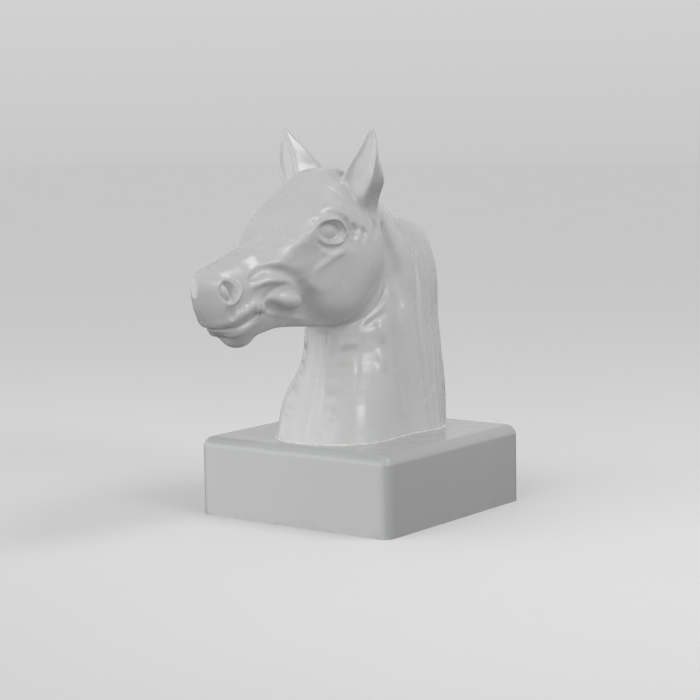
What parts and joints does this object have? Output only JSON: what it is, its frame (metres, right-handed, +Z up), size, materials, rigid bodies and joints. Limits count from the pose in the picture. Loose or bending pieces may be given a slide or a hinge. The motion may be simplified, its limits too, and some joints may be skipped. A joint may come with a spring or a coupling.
{
  "type": "giant chess knight",
  "caption": "Giant garden chess knight: a hollow two-shell horse's head bolted to a hollow square base with a filler plug below.",
  "frame": {"origin": "centre of the base's underside, on the ground", "axes": "+Z up, the horse faces -Y, its left side is +X"},
  "size_m": [0.3, 0.47, 0.496],
  "materials": {
    "white_gelcoat": "gloss",
    "white_base": "gloss",
    "laminate": "rough",
    "plywood": "sanded",
    "brass": "machined",
    "white_sealant": "smooth",
    "steel": "zinc plated",
    "grey_panel": "matte",
    "black_rubber": "matte",
    "black_plastic": "moulded"
  },
  "bodies": {
    "knight": {"head_left_shell": "white_gelcoat", "head_right_shell": "white_gelcoat", "seam_strip": "laminate", "neck_mounting_block": "plywood", "neck_inserts": "brass", "neck_sealant_bead": "white_sealant", "base_shell": "white_base", "base_stiffener_board": "plywood", "neck_bolts": "steel", "neck_washers": "steel", "bottom_panel": "grey_panel", "panel_gasket": "black_rubber", "panel_inserts": "brass", "panel_screws": "steel", "panel_washers": "steel", "filler_bush": "black_plastic", "bush_gasket": "black_rubber", "bush_lock_ring": "black_plastic"},
    "plug_seal": {"plug_seal_ring": "black_rubber"},
    "plug": {"filler_plug": "black_plastic"}
  },
  "joints": [
    {"name": "plug_travel", "type": "slide", "parent": "knight", "child": "plug_seal", "axis": [0, 0, -1], "range_m": [0, 0.014]},
    {"name": "plug_turn", "type": "hinge", "parent": "plug_seal", "child": "plug", "pos_m": [0, 0.062, 0.01], "axis": [0, 0, -1], "range_deg": [0, 1260]}
  ],
  "couplings": [
    {"joint": "plug_travel", "follows": "plug_turn", "m_per_rad": 0.00063662}
  ]
}
